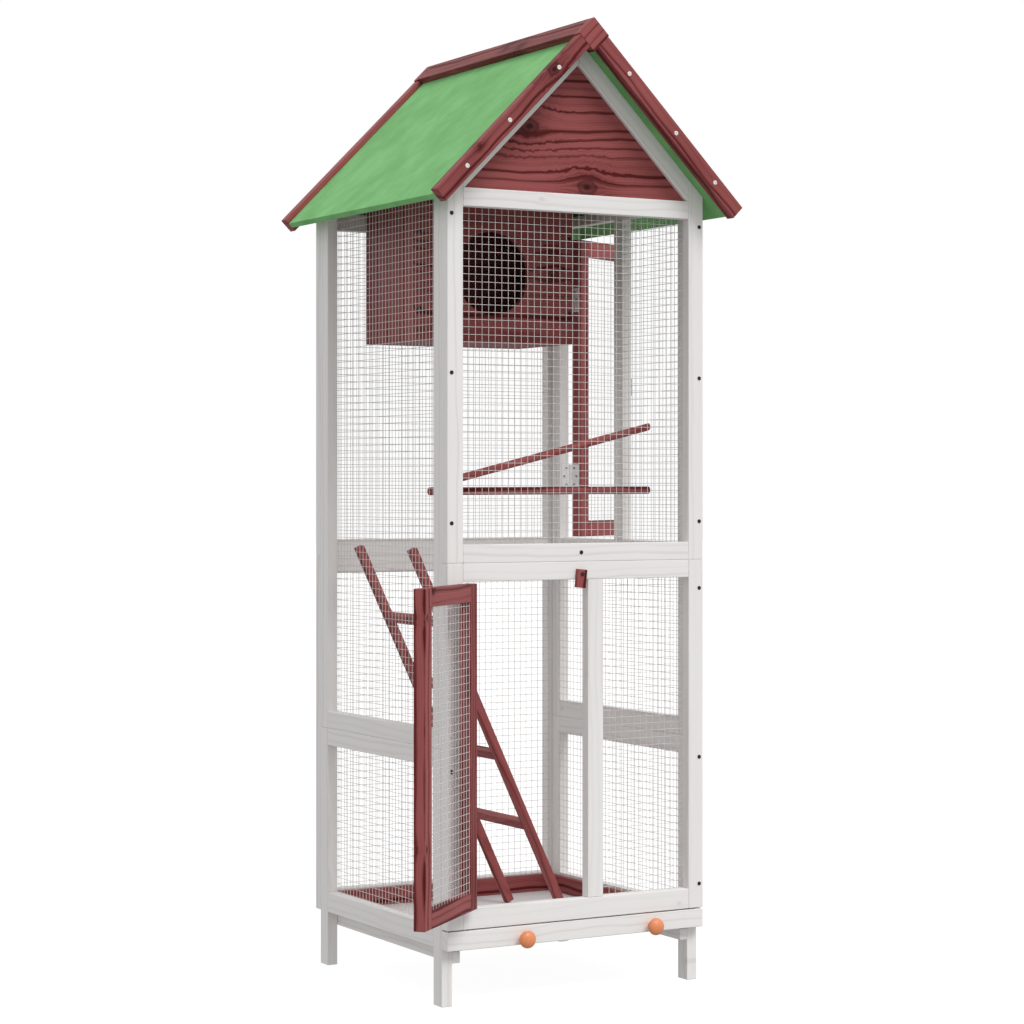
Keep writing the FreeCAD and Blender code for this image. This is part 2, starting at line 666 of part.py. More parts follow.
both_sides("drawer_runners",
           box("left_runner", ("left_inner", "front_inner", "runner_top - runner_face"),
               ("runner_depth", "back_inner - front_inner", "runner_face")))
side_skirting = box("left_skirting", ("left_inner", "front_inner", "tray_top + slide_clearance"),
                    ("skirting_depth", "back_inner - front_inner", "skirting_height"))
back_skirting = box("back_skirting",
                    ("left_inner + skirting_depth", "back_inner - skirting_depth",
                     "tray_top + slide_clearance"),
                    ("-2 * (left_inner + skirting_depth)", "skirting_depth", "skirting_height"))
node("skirting", side_skirting, mirrored("right_skirting", side_skirting), back_skirting)
node("drawer_front",
     box("drawer_front_board", ("-half_width", "-half_depth", "drawer_front_bottom"),
         ("body_width", "drawer_front_depth", "drawer_front_height")))
node("drawer_tray",
     box("tray_board", ("-tray_half", "drawer_back_face", "tray_bottom"),
         ("2 * tray_half", "back_inner - tray_back_clearance - drawer_back_face", "tray_thickness")),
     box("tray_cleat", ("-cleat_half", "drawer_back_face", "tray_top"),
         ("2 * cleat_half", "cleat_depth", "cleat_height")))


def knob(name, across):
    """A turned knob on the drawer's front: a flattened ball on a short stem."""
    height = "drawer_front_bottom + knob_rise"
    ball = document.addObject("Part::Ellipsoid", name + "_ball")
    bind(ball, "Radius1", "knob_depth / 2")
    bind(ball, "Radius2", "knob_radius")
    place(ball, (across, "-half_depth - knob_reach", height), FACING_FRONT)
    stem = cylinder(name + "_stem", (across, "-half_depth", height), "knob_stem_radius", "knob_reach",
                    FACING_FRONT)
    return fused(name, [ball, stem])


node("drawer_knobs",
     knob("left_knob", "-half_width + left_knob_place"),
     knob("right_knob", "-half_width + right_knob_place"))


# Nest box on the back wall

nest_back = "nest_front + nest_depth - nest_board"
nest_panel = box("nest_front_panel", ("nest_left", "nest_front", "nest_bottom"),
                 ("nest_width", "nest_board", "nest_height"))
nest_hole = cylinder("nest_hole", ("nest_left + nest_hole_place", "nest_front + nest_board",
                                   "nest_bottom + nest_hole_rise"),
                     "nest_hole_radius", "nest_board", FACING_FRONT)
node("nest_box_front", cut("nest_front_board", nest_panel, nest_hole))


def nest_side(name, left):
    """A side of the nest box, behind its front."""
    return box(name, (left, "nest_front + nest_board", "nest_bottom"),
               ("nest_board", "nest_depth - nest_board", "nest_height"))


def nest_shelf(name, bottom):
    """The floor or the top of the nest box, inside its four walls."""
    return box(name, ("nest_inner_left", "nest_front + nest_board", bottom),
               ("nest_inner_width", "nest_inner_depth", "nest_board"))


node("nest_box_sides", nest_side("nest_left_side", "nest_left"),
     nest_side("nest_right_side", "nest_left + nest_width - nest_board"))
node("nest_box_floor_and_top", nest_shelf("nest_floor", "nest_bottom"),
     nest_shelf("nest_top", "nest_bottom + nest_height - nest_board"))
node("nest_box_back",
     box("nest_back_board", ("nest_inner_left", nest_back, "nest_bottom"),
         ("nest_inner_width", "nest_board", "nest_height")))


# Ladder, leaning on the left wall

def ladder_piece(name, along, across, extents):
    """A stick laid along or across the ladder, from its lowest corner on the ladder's own slope."""
    start = (f"ladder_foot - ({along}) * sin(ladder_lean)", across,
             f"tray_top + seat_clearance + ({along}) * cos(ladder_lean)")
    return tilt(box(name, start, extents), "-ladder_lean")


stringer = ("ladder_stick", "ladder_stick", "ladder_length")
rung = ("ladder_stick", "ladder_spacing - ladder_stick", "ladder_stick")
node("ladder_stringers",
     ladder_piece("near_stringer", "0", "ladder_front", stringer),
     ladder_piece("far_stringer", "0", "ladder_front + ladder_spacing", stringer))
node("ladder_rungs",
     *[ladder_piece(f"rung_{index}", f"ladder_length * {share} - half_stick",
                    "ladder_front + ladder_stick", rung)
       for index, share in enumerate(RUNG_SHARES, start=1)])


# Perches between the side walls

def perch_end(name, across, back, height):
    """The round outline of a perch's end, flat against the mesh."""
    item = document.addObject("Part::Circle", name)
    bind(item, "Radius", "perch_radius")
    return place(item, (across, f"-half_depth + {back}", height), FACING_RIGHT)


def perch(name, left, right):
    """A round stick between two ends, each given by its place and height."""
    item = document.addObject("Part::Loft", name)
    item.Sections = [perch_end(name + "_left_end", "perch_end", *left),
                     perch_end(name + "_right_end", "-perch_end", *right)]
    item.Solid = True
    item.Ruled = True
    return item


node("perches",
     perch("low_perch", ("perch_left_place", "perch_left_height"),
           ("perch_right_place", "perch_right_height")),
     perch("high_perch", ("high_perch_left_place", "perch_left_height + high_perch_left_rise"),
           ("perch_right_place", "perch_right_height + high_perch_right_rise")))


# Screws

def screw_heads(name, spots, radius, turn):
    """Low round heads at a list of places, all facing the same way."""
    return [cylinder(f"{name}_{index}", spot, radius, "screw_head", turn)
            for index, spot in enumerate(spots, start=1)]


stile_x = "-half_width + screw_edge"
stile_spots = [(stile_x, "-half_depth", f"front_sill_gap + (front_seam - front_sill_gap) * {share}")
               for share in LOWER_SCREW_SHARES]
stile_spots += [(stile_x, "-half_depth", f"front_seam + (wall_top - front_seam) * {share}")
                for share in UPPER_SCREW_SHARES]
left_heads = group("left_frame_screws", screw_heads("frame_screw", stile_spots, "screw_radius", FACING_FRONT))
middle_spot = ("-half_width + centre_screw_place", "-half_depth", "front_seam + rail_face / 2")
nest_x = "nest_left + nest_screw_edge"
nest_spots = [(nest_x, "nest_front", "nest_bottom + nest_screw_inset"),
              (nest_x, "nest_front", "nest_bottom + nest_height - nest_screw_inset")]
nest_spots += [(f"nest_width + 2 * nest_left - ({nest_x})", front, height) for _, front, height in nest_spots]
node("frame_screws", left_heads, mirrored("right_frame_screws", left_heads),
     *screw_heads("middle_screw", [middle_spot], "screw_radius", FACING_FRONT),
     *screw_heads("nest_screw", nest_spots, "screw_radius", FACING_FRONT))

barge_points = [on_slope(f"eave_run * {share}", "barge_screw_lift") for share in BARGE_SCREW_SHARES]
both_sides("barge_screws",
           *screw_heads("front_barge_screw", [(across, "roof_front - barge_depth", up)
                                              for across, up in barge_points],
                        "barge_screw_radius", FACING_FRONT),
           *screw_heads("back_barge_screw", [(across, "roof_back + barge_depth", up)
                                             for across, up in barge_points],
                        "barge_screw_radius", FACING_BACK))

# Two screws hold the nest box through the back mesh, each with a washer on the mesh's outer face

mesh_screw = fused("mesh_screw", [
    cylinder("mesh_shank", ("0", "0", "-strand - seat_clearance"), "shank_radius",
             "strand + seat_clearance + washer_thickness"),
    cylinder("washer", ORIGIN, "washer_radius", "washer_thickness"),
    cylinder("mesh_screw_head", ("0", "0", "washer_thickness"), "screw_radius", "screw_head")])
fixings = ("nest_left + nest_fixing_inset", "nest_left + nest_width - nest_fixing_inset")
node("nest_box_screws",
     *[copy_at(f"nest_box_screw_{index}", mesh_screw,
               (across, "back_inner", "nest_bottom + nest_height - nest_fixing_drop"), FACING_BACK)
       for index, across in enumerate(fixings, start=1)])


# Check every object, then write each sub-part to its file

document.recompute()
failed = [item.Name for item in document.Objects if "Invalid" in item.State or "Error" in item.State]
unsound = [item.Label for item in nodes if item.Shape.isNull() or not item.Shape.isValid()]
if failed or unsound:
    raise RuntimeError(f"failed objects: {failed}, unsound sub-parts: {unsound}")

os.makedirs("parts", exist_ok=True)
for item in nodes:
    item.Shape.exportStep(f"parts/{item.Label}.step")
print(len(nodes), "sub-parts written")
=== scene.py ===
"""Dresses the bird aviary: stained and white-washed timber, welded mesh, felt roof and fittings."""

import json
import math
import random

import bpy
import numpy as np
from bpy.props import FloatProperty, FloatVectorProperty, IntProperty, PointerProperty
from bpy.types import Operator, Panel, PropertyGroup
from mathutils import Matrix, Vector


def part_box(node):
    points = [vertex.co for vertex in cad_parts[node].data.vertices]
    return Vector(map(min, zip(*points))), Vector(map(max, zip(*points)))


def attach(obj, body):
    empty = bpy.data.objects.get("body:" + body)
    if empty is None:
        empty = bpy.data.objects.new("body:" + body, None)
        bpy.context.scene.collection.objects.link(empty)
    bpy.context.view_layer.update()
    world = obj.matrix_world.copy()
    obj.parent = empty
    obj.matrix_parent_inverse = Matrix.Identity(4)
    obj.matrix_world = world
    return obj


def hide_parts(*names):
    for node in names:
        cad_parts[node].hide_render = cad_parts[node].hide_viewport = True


bl_info = {
    "name": "Bird Aviary",
    "version": (1, 0, 0),
    "blender": (4, 5, 0),
    "location": "3D View > Sidebar > Aviary",
    "description": "Dresses the aviary's frame with timber, mesh, felt and fittings",
    "category": "Object",
}

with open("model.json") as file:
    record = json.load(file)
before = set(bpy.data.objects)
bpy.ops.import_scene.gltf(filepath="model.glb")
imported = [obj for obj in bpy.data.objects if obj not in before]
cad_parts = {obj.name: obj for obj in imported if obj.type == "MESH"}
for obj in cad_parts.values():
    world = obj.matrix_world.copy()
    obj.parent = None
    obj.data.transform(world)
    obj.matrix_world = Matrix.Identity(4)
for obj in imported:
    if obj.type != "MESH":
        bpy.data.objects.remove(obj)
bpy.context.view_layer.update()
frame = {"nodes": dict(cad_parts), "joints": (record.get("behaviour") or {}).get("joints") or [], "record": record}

BODY_OF = {node: body for body, nodes in frame["record"]["behaviour"]["bodies"].items() for node in nodes}
JOINTS = {joint["name"]: joint for joint in frame["joints"]}

# Nodes by what is done to them

WHITE_TIMBER = (
    "front_lower_stiles", "front_lower_rails", "front_upper_stiles", "front_upper_rails", "gable_rails",
    "back_lower_stiles", "back_lower_rails", "back_upper_stiles", "back_upper_rails",
    "left_legs", "left_lower_rails", "left_upper_stiles", "left_upper_rails",
    "right_legs", "right_lower_rails", "right_upper_stiles", "right_upper_rails",
)
WALL_MESH = ("front_lower_mesh", "front_upper_mesh", "back_lower_mesh", "back_upper_mesh",
             "left_lower_mesh", "left_upper_mesh", "right_lower_mesh", "right_upper_mesh")

# Each door's joint, which end of its range shuts the door, and the direction its hinge leaves are thin in

DOOR_JOINTS = {"front_door": ("front_door_hinge", 1), "side_door": ("side_door_hinge", 0)}
LEAF_THROUGH = {"front_door": 0, "side_door": 1}

# Knots that show: their place as shares of the node's box, and their radius in metres

KNOTS = {
    "gable_boards": [((0.546, 0.02, 0.063), 0.0125), ((0.29, 0.02, 0.5), 0.0125)],
    "barge_boards": [((0.37, 0.02, 0.785), 0.009)],
    "ridge_caps": [((0.2, 0.35, 0.35), 0.008), ((0.3, 0.46, 0.6), 0.006)],
    "nest_box_front": [((0.87, 0.02, 0.5), 0.009), ((0.86, 0.02, 0.64), 0.006)],
    "front_door_stiles": [((0.06, 0.1, 0.915), 0.004), ((0.05, 0.1, 0.24), 0.004)],
}

# How dark the stain came out on single boards, from 0 to 1, in the order of the node's boards

TONES = {
    "front_door_stiles": (1.0, 0.3),
    "gable_boards": (0.55, 0.5),
    "barge_boards": (0.9, 0.5, 0.75, 0.5),
    "ridge_caps": (1.0, 0.6),
    "skirting": (0.8, 0.7, 0.75),
}
MIDDLE_TONE = 0.5
TONE_SPREAD = 0.2

# How often a board has a knot of its own, and how far off one lies that doesn't show

KNOT_CHANCE = 0.12
NO_KNOT = 50

METRE = 1.0
RIGHT_ANGLE = math.radians(90)
HEAD_SIDES = 20
WHOLE_TURN = 2 * math.pi
MERGE_DISTANCE = 1e-6
SPOT_DIGITS = 5
FLAT_ANGLE = math.radians(0.5)
SHARP_ANGLE = math.radians(30)
SMOOTH_ANGLE = math.radians(50)
UP = Vector((0, 0, 1))


# Settings

class TimberSettings(PropertyGroup):
    """Sizes and colours of the timber."""
    edge_radius: FloatProperty(name="Edge Radius", description="How far each timber's edges are rounded",
                               default=0.0013, unit="LENGTH")
    edge_steps: IntProperty(name="Edge Steps", description="Facets across a rounded edge", default=2)
    white: FloatVectorProperty(name="White", description="The white wash over pine", subtype="COLOR",
                               default=(0.83, 0.815, 0.80))
    white_streak: FloatVectorProperty(name="White Streak", description="Grain that shows through the wash",
                                      subtype="COLOR", default=(0.735, 0.70, 0.685))
    white_knot: FloatVectorProperty(name="White Knot", description="Knots under the wash", subtype="COLOR",
                                    default=(0.70, 0.655, 0.62))
    red: FloatVectorProperty(name="Stain", description="Red-brown stain on pale grain", subtype="COLOR",
                             default=(0.335, 0.090, 0.088))
    red_streak: FloatVectorProperty(name="Stain Streak", description="Red-brown stain on dark grain",
                                    subtype="COLOR", default=(0.088, 0.007, 0.008))
    red_knot: FloatVectorProperty(name="Stain Knot", description="Red-brown stain on a knot",
                                  subtype="COLOR", default=(0.04, 0.004, 0.004))
    wash_gloss: FloatProperty(name="Wash Gloss", description="How much the wash shines", default=0.25,
                              subtype="FACTOR")
    stain_gloss: FloatProperty(name="Stain Gloss", description="How much the stain shines", default=0.15,
                               subtype="FACTOR")
    tray: FloatVectorProperty(name="Tray", description="Coated sheet of the tray", subtype="COLOR",
                              default=(0.735, 0.72, 0.715))


class WireSettings(PropertyGroup):
    """The welded mesh."""
    pitch: FloatProperty(name="Pitch", description="From one wire's middle to the next one's",
                         default=0.0127, unit="LENGTH")
    diameter: FloatProperty(name="Diameter", description="Thickness of a wire", default=0.0009,
                            unit="LENGTH")
    sides: IntProperty(name="Sides", description="Sides of a wire's round outline", default=8)
    weld: FloatProperty(name="Weld", description="How far crossing wires sink together, as a share of one",
                        default=0.3, subtype="FACTOR")
    colour: FloatVectorProperty(name="Zinc", description="Zinc coat of the wire", subtype="COLOR",
                                default=(0.70, 0.67, 0.655))
    shine: FloatProperty(name="Shine", description="How metallic the wire's coat looks", default=0.1,
                         subtype="FACTOR")


class RoofSettings(PropertyGroup):
    """The roofing felt."""
    felt: FloatVectorProperty(name="Felt", description="The green mineral felt", subtype="COLOR",
                              default=(0.225, 0.535, 0.202))
    felt_shade: FloatVectorProperty(name="Felt Shade", description="Darker blotches of the felt",
                                    subtype="COLOR", default=(0.142, 0.395, 0.128))
    edge_radius: FloatProperty(name="Fold Radius", description="Rounding of the felt's folded edges",
                               default=0.0007, unit="LENGTH")


class FittingSettings(PropertyGroup):
    """Screws, hinges and knobs."""
    zinc: FloatVectorProperty(name="Zinc Plate", description="Hinges and pale screws", subtype="COLOR",
                              default=(0.84, 0.84, 0.83))
    zinc_shine: FloatProperty(name="Zinc Shine", description="How metallic the zinc plate looks",
                              default=0.3, subtype="FACTOR")
    black: FloatVectorProperty(name="Black Screw", description="Dark screws", subtype="COLOR",
                               default=(0.012, 0.012, 0.012))
    orange: FloatVectorProperty(name="Knob", description="Stained knobs", subtype="COLOR",
                                default=(0.91, 0.31, 0.122))
    recess_share: FloatProperty(name="Recess", description="Length of a cross recess over the head's width",
                                default=0.55, subtype="FACTOR")
    screw_edge: FloatProperty(name="Screw Edge", description="Rounding of the other screws' edges",
                              default=0.0003, unit="LENGTH")
    leaf_radius: FloatProperty(name="Leaf Edge", description="Rounding of the hinge leaves' edges",
                               default=0.0002, unit="LENGTH")
    head_radius: FloatProperty(name="Head Radius", description="Radius of the hinge screws' heads",
                               default=0.0024, unit="LENGTH")
    head_height: FloatProperty(name="Head Height", description="Height of the hinge screws' heads",
                               default=0.0004, unit="LENGTH")
    head_sink: FloatProperty(name="Head Sink", description="How far behind the pivot the heads are seated",
                             default=0.00045, unit="LENGTH")


class StageSettings(PropertyGroup):
    """Camera, light and floor."""
    camera_place: FloatVectorProperty(name="Camera", description="Where the camera stands",
                                      default=(-2.3005, -4.0681, 0.8748), unit="LENGTH")
    camera_turn: FloatProperty(name="Camera Turn", description="How far the camera turns to the right",
                               default=math.radians(29.633), unit="ROTATION")
    lens: FloatProperty(name="Lens", description="Focal length in millimetres", default=91.470)
    sensor: FloatProperty(name="Sensor", description="Sensor width in millimetres", default=36.0)
    shift: FloatProperty(name="Shift", description="Upward shift of the lens", default=-0.02757)
    key: FloatProperty(name="Key Light", description="Strength of the main light", default=1.60)
    key_height: FloatProperty(name="Key Height", description="How high the main light stands",
                              default=math.radians(50), unit="ROTATION")
    key_turn: FloatProperty(name="Key Turn", description="How far right of the front the main light stands",
                            default=math.radians(10), unit="ROTATION")
    key_spread: FloatProperty(name="Key Spread", description="How wide the main light is",
                              default=math.radians(25), unit="ROTATION")
    sky: FloatProperty(name="Sky", description="Strength of the light from above", default=0.80)
    ground: FloatProperty(name="Ground", description="Strength of the light from below", default=0.44)
    floor: FloatVectorProperty(name="Floor", description="The floor's own colour", subtype="COLOR",
                               default=(0.16, 0.16, 0.16))
    floor_size: FloatProperty(name="Floor Size", description="Length of the floor's sides", default=60.0,
                              unit="LENGTH")
    floor_glow: FloatProperty(name="Floor Glow", description="How brightly the floor shines by itself",
                              default=0.9)


class AviarySettings(PropertyGroup):
    """Everything that can be set."""
    timber: PointerProperty(type=TimberSettings)
    wire: PointerProperty(type=WireSettings)
    roof: PointerProperty(type=RoofSettings)
    fittings: PointerProperty(type=FittingSettings)
    stage: PointerProperty(type=StageSettings)


# Shader maths

class Shade:
    """A number, colour or vector inside a material. Python's operators add Math nodes."""

    def __init__(self, recipe, socket):
        self.recipe = recipe
        self.socket = socket

    def sum_with(self, operation, *values):
        return self.recipe.node("ShaderNodeMath", {"operation": operation}, list(values))

    def __add__(self, other):
        return self.sum_with("ADD", self, other)

    def __sub__(self, other):
        return self.sum_with("SUBTRACT", self, other)

    def __rsub__(self, other):
        return self.sum_with("SUBTRACT", other, self)

    def __mul__(self, other):
        return self.sum_with("MULTIPLY", self, other)

    def __truediv__(self, other):
        return self.sum_with("DIVIDE", self, other)

    def __pow__(self, other):
        return self.sum_with("POWER", self, other)

    def __neg__(self):
        return self * -1

    __radd__ = __add__
    __rmul__ = __mul__

    def root(self):
        return self.sum_with("SQRT", self)

    def fade(self):
        """e to the power of minus this number."""
        return self.sum_with("EXPONENT", -self)

    def wave(self):
        """A wave between 0 and 1, one for each whole number."""
        return self.sum_with("SINE", self * WHOLE_TURN) * 0.5 + 0.5

    def step(self, low, high):
        """A smooth rise from 0 at the low value to 1 at the high one."""
        return self.recipe.node("ShaderNodeMapRange", {"interpolation_type": "SMOOTHSTEP"},
                                {"Value": self, "From Min": low, "From Max": high})


SURFACES = ("BSDF_PRINCIPLED", "BACKGROUND")


class Recipe:
    """A material or a world under construction, with the one surface or background that it starts with."""

    def __init__(self, owner):
        self.owner = owner
        self.owner.use_nodes = True
        self.tree = self.owner.node_tree
        self.surface = next(item for item in self.tree.nodes if item.type in SURFACES)

    def feed(self, socket, value):
        """Links a shade to a socket, or sets the socket to a plain value."""
        if isinstance(value, Shade):
            self.tree.links.new(value.socket, socket)
        elif hasattr(value, "__len__") and socket.type == "RGBA" and len(value) == 3:
            socket.default_value = (*value, 1)
        else:
            socket.default_value = value

    def node(self, kind, settings, values, output=0):
        """Adds a node of a type, with its settings made first and its sockets then filled."""
        item = self.tree.nodes.new(kind)
        for key, setting in settings.items():
            setattr(item, key, setting)
        pairs = values.items() if isinstance(values, dict) else enumerate(values)
        for key, value in pairs:
            self.feed(item.inputs[key], value)
        return Shade(self, item.outputs[output])

    def attribute(self, name):
        return self.node("ShaderNodeAttribute", {"attribute_name": name}, {}, "Vector")

    def place(self):
        return self.node("ShaderNodeTexCoord", {}, {}, "Object")

    def split(self, vector):
        """The three numbers of a vector."""
        first = self.node("ShaderNodeSeparateXYZ", {}, [vector])
        outputs = first.socket.node.outputs
        return [Shade(self, outputs[index]) for index in range(3)]

    def vector(self, *numbers):
        return self.node("ShaderNodeCombineXYZ", {}, list(numbers))

    def noise(self, vector, scale=1.0, detail=2.0, roughness=0.5):
        values = {"Vector": vector, "Scale": scale, "Detail": detail, "Roughness": roughness}
        return self.node("ShaderNodeTexNoise", {}, values)

    def noise_along(self, number, detail=2.0, roughness=0.5):
        """A noise that changes along one number alone."""
        values = {"W": number, "Scale": 1.0, "Detail": detail, "Roughness": roughness}
        return self.node("ShaderNodeTexNoise", {"noise_dimensions": "1D"}, values)

    def mix(self, factor, first, second):
        """A blend of two colours."""
        return self.node("ShaderNodeMix", {"data_type": "RGBA"}, {0: factor, 6: first, 7: second}, 2)

    def bump(self, height, distance, strength=1.0):
        values = {"Strength": strength, "Distance": distance, "Height": height}
        return self.node("ShaderNodeBump", {}, values)

    def finish(self, **values):
        """Fills the surface's sockets, named with underscores for spaces, and returns what it belongs to."""
        for key, value in values.items():
            self.feed(self.surface.inputs[key.replace("_", " ")], value)
        return self.owner


def new_material(name):
    return Recipe(bpy.data.materials.new(name))


# Materials

def timber_material(name, pale, streak, knot, contrast, roughness, gloss):
    """Sawn pine under a wash or a stain: growth rings along each board, bent round its knots."""
    wood = new_material(name)
    along, across, depth = wood.split(wood.attribute("grain"))
    seed, pith, tone = wood.split(wood.attribute("board"))
    knot_core = 0.0
    knot_halo = 0.0
    for index in (1, 2):
        knot_along, knot_across, knot_radius = wood.split(wood.attribute(f"knot_{index}"))
        beside = across - knot_across
        beyond = (along - knot_along) * 0.7
        wobble = wood.noise(wood.vector(along * 90, beside * 90, seed * 9), detail=1.0) * 0.7 + 0.65
        distance = (beside * beside + beyond * beyond).root() / knot_radius * wobble
        near = (distance * distance * 0.14).fade()
        across = across - beside * near * 0.85
        core = 1 - distance.step(0.35, 1.1)
        collar = (distance * 1.1 + 0.2).wave() * (1 - distance.step(1.0, 2.2))
        knot_core = knot_core + core * 0.62 + collar * 0.6
        knot_halo = knot_halo + near * 0.25
    sway = wood.noise(wood.vector(along * 3.4, across * 7, depth * 7 + seed * 31), detail=2.0) - 0.5
    shiver = wood.noise(wood.vector(along * 16, across * 24, depth * 24 + seed * 57), detail=2.0) - 0.5
    beside_pith = across + 0.05 + pith * 0.12 + sway * 0.03 + shiver * 0.004
    behind_pith = depth + 0.015 + seed * 0.05
    rings = (beside_pith * beside_pith + behind_pith * behind_pith).root() * 76 + tone * 3
    latewood = rings.wave() ** 3
    strong = wood.noise_along(rings * 0.61 + seed * 77, detail=1.0).step(0.40, 0.62)
    fine = (rings * 3.7 + sway * 4).wave() ** 2
    hairs = wood.noise_along(rings * 5.3 + shiver * 2 + seed * 53, detail=3.0, roughness=0.7)
    fibre = wood.noise(wood.vector(along * 11, across * 1100, depth * 1100 + seed * 13), detail=3.0,
                       roughness=0.65)
    cloud = wood.noise(wood.vector(along * 6, across * 26, seed * 19 + depth * 26), detail=3.0)
    lines = latewood * (strong * 0.62 + 0.12) + fine * 0.12 + (hairs - 0.5) * 0.42
    shade = lines + (fibre - 0.5) * 0.3 + (cloud - 0.5) * 0.55 + (tone - MIDDLE_TONE) * 0.4 + knot_halo
    stained = wood.mix((shade * contrast).step(-0.15, 1.0), pale, streak)
    colour = wood.mix(knot_core.step(0.05, 1.1), stained, knot)
    relief = fibre * 0.5 - lines * 0.4 - knot_core * 0.4
    return wood.finish(Base_Color=colour, Roughness=roughness + lines * 0.08, Specular_IOR_Level=gloss,
                       Normal=wood.bump(relief, 0.0003, 0.5))


def white_timber(settings):
    name = "white_washed_pine"
    return bpy.data.materials.get(name) or timber_material(
        name, settings.white, settings.white_streak, settings.white_knot, 1.0, 0.6, settings.wash_gloss)


def red_timber(settings):
    name = "red_stained_pine"
    return bpy.data.materials.get(name) or timber_material(
        name, settings.red, settings.red_streak, settings.red_knot, 1.3, 0.5, settings.stain_gloss)


def tray_board(settings):
    """White coated sheet, faintly uneven."""
    sheet = new_material("white_coated_sheet")
    cloud = sheet.noise(sheet.place(), scale=14, detail=4)
    colour = sheet.mix(cloud, settings.tray, [part * 0.9 for part in settings.tray])
    return sheet.finish(Base_Color=colour, Roughness=0.4 + cloud * 0.15)


def roof_boarding():
    """Bare board under the felt."""
    board = new_material("bare_roof_board")
    across, along, up = board.split(board.place())
    grain = board.noise(board.vector(across * 300, along * 9, up * 300), detail=4)
    colour = board.mix(grain, (0.60, 0.43, 0.25), (0.42, 0.27, 0.14))
    return board.finish(Base_Color=colour, Roughness=0.7, Normal=board.bump(grain, 0.0003))


def roofing_felt(settings):
    """Mineral felt: soft blotches and smears under a fine mineral grit."""
    felt = new_material("green_mineral_felt")
    place = felt.place()
    across, along, up = felt.split(place)
    blotch = felt.noise(place, scale=16, detail=4, roughness=0.6)
    smear = felt.noise(felt.vector(across * 22 + along * 14, along * 5, up * 9), detail=3)
    grit = felt.noise(place, scale=900, detail=2, roughness=0.7)
    shade = (blotch * 0.55 + smear * 0.3 + grit * 0.3).step(0.38, 0.78)
    colour = felt.mix(shade, settings.felt, settings.felt_shade)
    return felt.finish(Base_Color=colour, Roughness=0.82 + grit * 0.12,
                       Normal=felt.bump(grit * 0.4 + blotch, 0.0006, 0.5))


def zinc_metal(name, colour, shine):
    """A zinc coat with its faint spangle."""
    zinc = new_material(name)
    spangle = zinc.node("ShaderNodeTexVoronoi", {}, {"Vector": zinc.place(), "Scale": 420.0}, "Color")
    patch, _, _ = zinc.split(spangle)
    tint = zinc.mix(patch * 0.35, colour, [part * 0.72 for part in colour])
    return zinc.finish(Base_Color=tint, Metallic=shine, Roughness=0.42 + patch * 0.16)


def black_metal(settings):
    """Phosphated screws."""
    black = new_material("black_phosphate")
    speck = black.noise(black.place(), scale=2500, detail=2)
    colour = black.mix(speck, settings.black, [part * 2.5 for part in settings.black])
    return black.finish(Base_Color=colour, Roughness=0.45 + speck * 0.15, Metallic=0.4)


def knob_stain(settings):
    """Orange stain over turned wood, with its grain along the knob's turning axis."""
    stain = new_material("orange_stained_knob")
    across, along, up = stain.split(stain.place())
    grain = stain.noise(stain.vector(across * 260, along * 60, up * 900), detail=3)
    colour = stain.mix(grain, settings.orange, [part * 0.72 for part in settings.orange])
    return stain.finish(Base_Color=colour, Roughness=0.38 + grain * 0.1, Coat_Weight=0.15,
                        Normal=stain.bump(grain, 0.0002, 0.4))


# Meshes

def pick(*pieces):
    """Selects these pieces alone, the first one active."""
    bpy.ops.object.select_all(action="DESELECT")
    for piece in pieces:
        piece.select_set(True)
    bpy.context.view_layer.objects.active = pieces[0]


def points_of(mesh):
    """The places of a mesh's points, as rows."""
    points = np.empty(len(mesh.vertices) * 3)
    mesh.vertices.foreach_get("co", points)
    return points.reshape(-1, 3)


def solids_of(mesh):
    """For each point, the number of the separate solid that it belongs to, and how many solids there are."""
    links = np.empty(len(mesh.edges) * 2, int)
    mesh.edges.foreach_get("vertices", links)
    first, second = links.reshape(-1, 2).T
    labels = np.arange(len(mesh.vertices))
    while True:
        before = labels.copy()
        lowest = np.minimum(labels[first], labels[second])
        np.minimum.at(labels, first, lowest)
        np.minimum.at(labels, second, lowest)
        labels = labels[labels]
        if (labels == before).all():
            roots, numbers = np.unique(labels, return_inverse=True)
            return numbers, len(roots)


def group_solids(piece):
    """Gives each closed solid of a CAD mesh a vertex group; its faces follow one another in the mesh."""
    mesh = piece.data
    spots = np.unique(np.round(points_of(mesh), SPOT_DIGITS), axis=0, return_inverse=True)[1].ravel()
    members = []
    edges_met_once = set()
    for face in mesh.polygons:
        members += face.vertices
        for first, second in face.edge_keys:
            if spots[first] != spots[second]:
                edges_met_once ^= {frozenset((int(spots[first]), int(spots[second])))}
        if not edges_met_once:
            piece.vertex_groups.new(name="solid").add(members, 1.0, "REPLACE")
            members = []


def clean_copy(node, name):
    """A new piece in a CAD node's place, each solid's triangles merged into flat faces."""
    piece = bpy.data.objects.new(name, frame["nodes"][node].data.copy())
    piece.data.materials.clear()
    bpy.context.scene.collection.objects.link(piece)
    pick(piece)
    bpy.ops.mesh.customdata_custom_splitnormals_clear()
    group_solids(piece)
    bpy.ops.object.mode_set(mode="EDIT")
    for index in range(len(piece.vertex_groups)):
        piece.vertex_groups.active_index = index
        bpy.ops.mesh.select_all(action="DESELECT")
        bpy.ops.object.vertex_group_select()
        bpy.ops.mesh.remove_doubles(threshold=MERGE_DISTANCE)
    bpy.ops.mesh.select_all(action="SELECT")
    bpy.ops.mesh.dissolve_limited(angle_limit=FLAT_ANGLE)
    bpy.ops.object.mode_set(mode="OBJECT")
    piece.vertex_groups.clear()
    return piece


